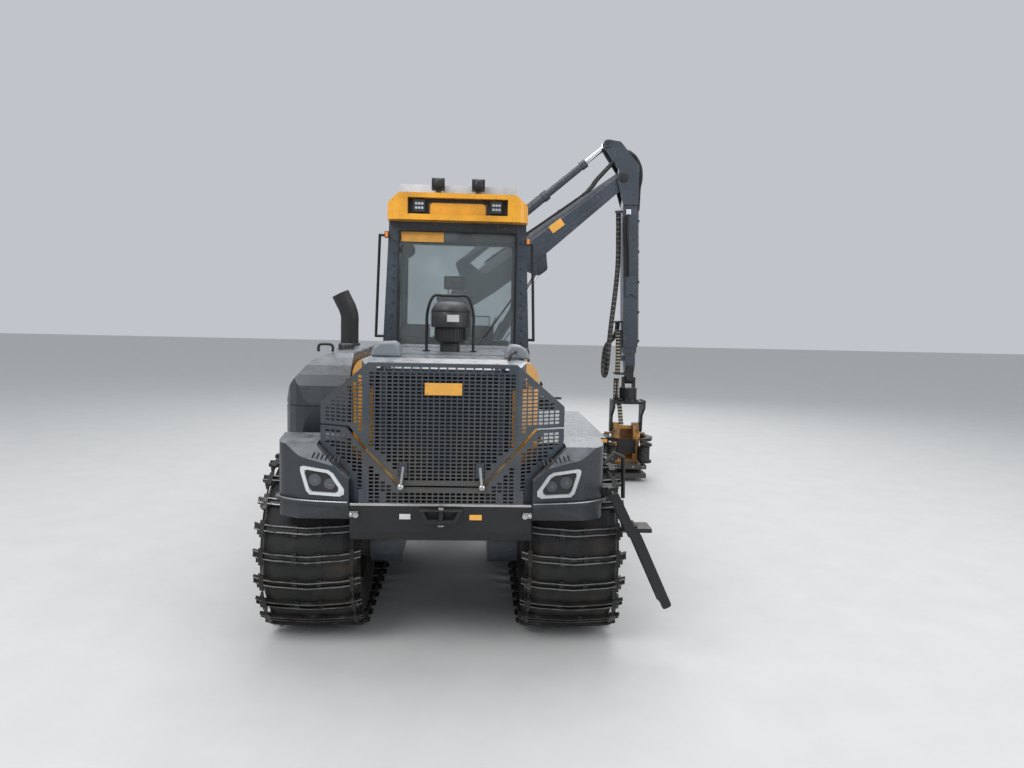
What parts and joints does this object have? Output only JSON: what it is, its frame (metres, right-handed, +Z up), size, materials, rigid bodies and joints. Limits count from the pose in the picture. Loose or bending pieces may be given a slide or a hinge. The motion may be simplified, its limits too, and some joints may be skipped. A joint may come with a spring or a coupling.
{
  "type": "forestry harvester",
  "caption": "Articulated forestry harvester on tracked bogies with a rear engine, a cab, and a slewing knuckle crane that carries a felling and delimbing head.",
  "frame": {"origin": "centre of the whole outline at ground level", "axes": "+Y forward to the crane end, +X to the machine's right, where the crane points, +Z up"},
  "size_m": [4.4038, 7.5003, 5.1956],
  "materials": {
    "dark_paint": "semi-gloss dark slate paint",
    "yellow_paint": "semi-gloss orange-yellow paint",
    "black_paint": "satin black",
    "black_plastic": "moulded black plastic",
    "grey_plastic": "moulded dark grey plastic",
    "track_steel": "worn cast steel",
    "tyre": "black rubber",
    "rim_paint": "grey paint",
    "engine_iron": "painted iron",
    "lamp": "satin bezel",
    "glass": "clear safety glass",
    "chrome": "hard chrome",
    "steel": "bare steel",
    "hose_rubber": "ribbed black hose",
    "hose_wrap": "pale spiral guard over black hose",
    "fabric": "woven seat cloth"
  },
  "bodies": {
    "rear_body": {"rear_frame": "dark_paint", "rear_axle": "dark_paint", "rear_tyres": "tyre", "rear_rims": "rim_paint", "rear_tracks": "track_steel", "engine": "engine_iron", "radiator": "black_paint", "hood_sides": "yellow_paint", "fuel_tank": "grey_plastic", "side_box": "grey_plastic", "rear_fenders": "grey_plastic", "rear_lamps": "lamp", "guard_apron": "dark_paint", "rear_bumper": "black_paint", "exhaust": "black_paint", "rear_rail": "black_paint"},
    "hood": {"hood_top": "grey_plastic", "precleaner": "black_plastic"},
    "guard": {"guard_door": "dark_paint"},
    "ladder": {"ladder": "black_paint"},
    "front_body": {"front_frame": "dark_paint", "front_axle": "dark_paint", "front_tyres": "tyre", "front_rims": "rim_paint", "front_tracks": "track_steel", "front_guard": "dark_paint", "cab_base": "dark_paint", "cab_shell": "dark_paint", "cab_glass": "glass", "seat": "fabric", "console": "black_plastic", "cab_roof": "yellow_paint", "roof_hatch": "lamp", "work_lamps": "black_plastic", "cab_access": "black_paint"},
    "door": {"cab_door": "dark_paint", "door_glass": "glass"},
    "column": {"crane_column": "dark_paint"},
    "boom": {"boom": "dark_paint", "stick_barrel": "dark_paint"},
    "lift_barrel": {"lift_barrel": "dark_paint"},
    "lift_rod": {"lift_rod": "chrome"},
    "stick": {"stick": "dark_paint", "hose_loop": "hose_rubber"},
    "stick_rod": {"stick_rod": "chrome"},
    "telescope_outer": {"telescope_outer": "dark_paint"},
    "telescope_inner": {"telescope_inner": "dark_paint", "head_hose": "hose_wrap"},
    "link": {"hanger_link": "black_paint"},
    "rotator_body": {"rotator": "black_paint"},
    "yoke": {"tilt_yoke": "black_paint"},
    "head": {"head_frame": "yellow_paint"},
    "saw": {"saw_bar": "steel"},
    "arm_left": {"roller_arm_left": "black_paint"},
    "arm_right": {"roller_arm_right": "black_paint"},
    "roller_left": {"feed_roller_left": "steel"},
    "roller_right": {"feed_roller_right": "steel"},
    "knife_left_body": {"knife_left": "steel"},
    "knife_right_body": {"knife_right": "steel"}
  },
  "joints": [
    {"name": "frame_steer", "type": "hinge", "parent": "rear_body", "child": "front_body", "pos_m": [-0.83, -0.045, 0.9], "axis": [0, 0, 1], "range_deg": [-40, 40]},
    {"name": "hood_lift", "type": "hinge", "parent": "rear_body", "child": "hood", "pos_m": [-0.83, -0.665, 2.04], "axis": [-1, 0, 0], "range_deg": [0, 45]},
    {"name": "guard_swing", "type": "hinge", "parent": "rear_body", "child": "guard", "pos_m": [-0.83, -3.659, 2.18], "axis": [-1, 0, 0], "range_deg": [0, 100]},
    {"name": "ladder_fold", "type": "hinge", "parent": "rear_body", "child": "ladder", "pos_m": [0.407, -3.605, 1.265], "axis": [0, -1, 0], "range_deg": [0, 140]},
    {"name": "cab_door_hinge", "type": "hinge", "parent": "front_body", "child": "door", "pos_m": [-1.716, 1.675, 2], "axis": [0, 0, -1], "range_deg": [0, 85]},
    {"name": "crane_slew", "type": "hinge", "parent": "front_body", "child": "column", "pos_m": [-0.83, 2.855, 1.5], "axis": [0, 0, -1], "range_deg": [-215, 35]},
    {"name": "boom_lift", "type": "hinge", "parent": "column", "child": "boom", "pos_m": [-0.83, 2.855, 2.765], "axis": [0, -1, 0], "range_deg": [-19, 28]},
    {"name": "lift_barrel_swing", "type": "hinge", "parent": "column", "child": "lift_barrel", "pos_m": [-0.5, 2.855, 1.78], "axis": [0, -1, 0], "range_deg": [-11.78, 17.36]},
    {"name": "lift_rod_slide", "type": "slide", "parent": "lift_barrel", "child": "lift_rod", "axis": [0.5091, 0, 0.8607], "range_m": [-0.254, 0.374]},
    {"name": "stick_fold", "type": "hinge", "parent": "boom", "child": "stick", "pos_m": [1.58866, 2.855, 4.64111], "axis": [0, 1, 0], "range_deg": [-35, 11]},
    {"name": "stick_rod_slide", "type": "slide", "parent": "boom", "child": "stick_rod", "axis": [0.7619, 0, 0.6476], "range_m": [-0.348, 0.109]},
    {"name": "telescope_outer_slide", "type": "slide", "parent": "stick", "child": "telescope_outer", "axis": [-0.0349, 0, 0.9994], "range_m": [-1.5, 0], "deforming": ["hose_loop"]},
    {"name": "telescope_inner_slide", "type": "slide", "parent": "telescope_outer", "child": "telescope_inner", "axis": [-0.0349, 0, 0.9994], "range_m": [-1.5, 0]},
    {"name": "link_swing", "type": "hinge", "parent": "telescope_inner", "child": "link", "pos_m": [1.8018, 2.855, 1.74678], "axis": [0, -1, 0], "range_deg": [-35, 35], "deforming": ["head_hose"]},
    {"name": "rotator_swing", "type": "hinge", "parent": "link", "child": "rotator_body", "pos_m": [1.8018, 2.855, 1.57678], "axis": [1, 0, 0], "range_deg": [-40, 40]},
    {"name": "rotator_turn", "type": "hinge", "parent": "rotator_body", "child": "yoke", "pos_m": [1.8018, 2.855, 1.27078], "axis": [0, 0, 1], "range_deg": [-170, 170]},
    {"name": "head_tilt", "type": "hinge", "parent": "yoke", "child": "head", "pos_m": [1.8018, 2.975, 0.81078], "axis": [1, 0, 0], "range_deg": [0, 100]},
    {"name": "saw_swing", "type": "hinge", "parent": "head", "child": "saw", "pos_m": [1.5918, 2.955, 0.16578], "axis": [0, 0, -1], "range_deg": [0, 80]},
    {"name": "roller_arm_right_swing", "type": "hinge", "parent": "head", "child": "arm_right", "pos_m": [2.0868, 3.025, 0.5], "axis": [0, 0, 1], "range_deg": [-10, 32]},
    {"name": "roller_arm_left_swing", "type": "hinge", "parent": "head", "child": "arm_left", "pos_m": [1.5168, 3.025, 0.5], "axis": [0, 0, -1], "range_deg": [-10.4, 33]},
    {"name": "knife_right_swing", "type": "hinge", "parent": "head", "child": "knife_right_body", "pos_m": [2.0868, 3.025, 0.9], "axis": [0, 0, 1], "range_deg": [-6, 32]},
    {"name": "knife_left_swing", "type": "hinge", "parent": "head", "child": "knife_left_body", "pos_m": [1.5168, 3.025, 0.9], "axis": [0, 0, -1], "range_deg": [-6.3, 33]},
    {"name": "feed_roller_right_turn", "type": "hinge", "parent": "arm_right", "child": "roller_right", "pos_m": [2.0518, 2.72, 0.5], "axis": [0, 0, 1], "continuous": true},
    {"name": "feed_roller_left_turn", "type": "hinge", "parent": "arm_left", "child": "roller_left", "pos_m": [1.5518, 2.72, 0.5], "axis": [0, 0, 1], "continuous": true}
  ],
  "couplings": [
    {"joint": "lift_barrel_swing", "follows": "boom_lift", "ratio": 0.59611},
    {"joint": "lift_rod_slide", "follows": "boom_lift", "m_per_rad": 0.73572},
    {"joint": "stick_rod_slide", "follows": "stick_fold", "m_per_rad": 0.54766},
    {"joint": "telescope_inner_slide", "follows": "telescope_outer_slide", "ratio": 1},
    {"joint": "roller_arm_left_swing", "follows": "roller_arm_right_swing", "ratio": 1},
    {"joint": "knife_left_swing", "follows": "knife_right_swing", "ratio": 1}
  ]
}
